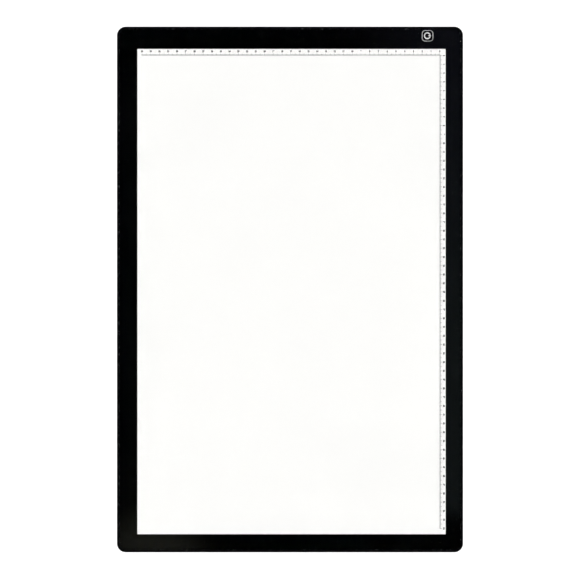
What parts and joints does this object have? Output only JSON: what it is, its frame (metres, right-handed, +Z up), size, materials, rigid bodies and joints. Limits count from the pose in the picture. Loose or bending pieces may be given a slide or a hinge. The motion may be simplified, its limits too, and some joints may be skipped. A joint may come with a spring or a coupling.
{
  "type": "light box",
  "caption": "Slim edge-lit tracing pad: clear cover over a lit white window, black border with centimetre rulers and a printed touch key, thin frame, back plate and rubber feet.",
  "frame": {"origin": "on the desk under the middle of the pad, at the height of the feet's undersides", "axes": "+Z up out of the drawing surface, +Y along the long side towards the edge with the touch key, +X to the right seen from above"},
  "size_m": [0.395, 0.6, 0.0092],
  "materials": {
    "black_abs": "moulded ABS, fine spark texture",
    "clear_acrylic": "polished cast acrylic, clear",
    "black_film": "opaque black printed film",
    "foam_tape": "black foam tape",
    "opal_film": "opal diffuser film, lit from behind",
    "guide_acrylic": "clear acrylic light guide with fine dots",
    "white_film": "white reflecting polyester film",
    "aluminium_bar": "extruded, mill finish",
    "led_board": "white solder mask with LED packages",
    "lead_pvc": "red and black twin PVC lead",
    "green_board": "glass-epoxy board with green solder mask",
    "spring_wire": "gold-flashed spring wire",
    "chip_plastic": "black moulding compound",
    "ferrite": "sintered ferrite",
    "ceramic_chip": "tan multilayer ceramic",
    "plated_steel": "nickel-plated steel",
    "black_steel": "black oxide steel",
    "silicone_rubber": "matt black silicone"
  },
  "bodies": {
    "root": {"back_plate": "black_abs", "back_screw_1": "black_steel", "back_screw_10": "black_steel", "back_screw_11": "black_steel", "back_screw_12": "black_steel", "back_screw_2": "black_steel", "back_screw_3": "black_steel", "back_screw_4": "black_steel", "back_screw_5": "black_steel", "back_screw_6": "black_steel", "back_screw_7": "black_steel", "back_screw_8": "black_steel", "back_screw_9": "black_steel", "board_screw_1": "plated_steel", "board_screw_2": "plated_steel", "border_mask": "black_film", "control_board": "green_board", "cover_panel": "clear_acrylic", "cover_tape_bottom": "foam_tape", "cover_tape_left": "foam_tape", "cover_tape_right": "foam_tape", "cover_tape_top": "foam_tape", "diffuser_sheet": "opal_film", "driver_chip": "chip_plastic", "foot_1": "silicone_rubber", "foot_2": "silicone_rubber", "foot_3": "silicone_rubber", "foot_4": "silicone_rubber", "foot_5": "silicone_rubber", "foot_6": "silicone_rubber", "frame": "black_abs", "guide_buffer_1": "silicone_rubber", "guide_buffer_2": "silicone_rubber", "guide_buffer_3": "silicone_rubber", "guide_buffer_4": "silicone_rubber", "input_capacitor": "ceramic_chip", "led_bar_left": "aluminium_bar", "led_bar_right": "aluminium_bar", "led_lead_left": "lead_pvc", "led_lead_right": "lead_pvc", "led_strip_left": "led_board", "led_strip_right": "led_board", "light_guide_plate": "guide_acrylic", "output_capacitor": "ceramic_chip", "power_inductor": "ferrite", "reflector_sheet": "white_film", "sense_resistor": "chip_plastic", "touch_chip": "chip_plastic", "touch_spring": "spring_wire", "usb_socket": "plated_steel", "usb_tongue": "chip_plastic"}
  },
  "joints": []
}
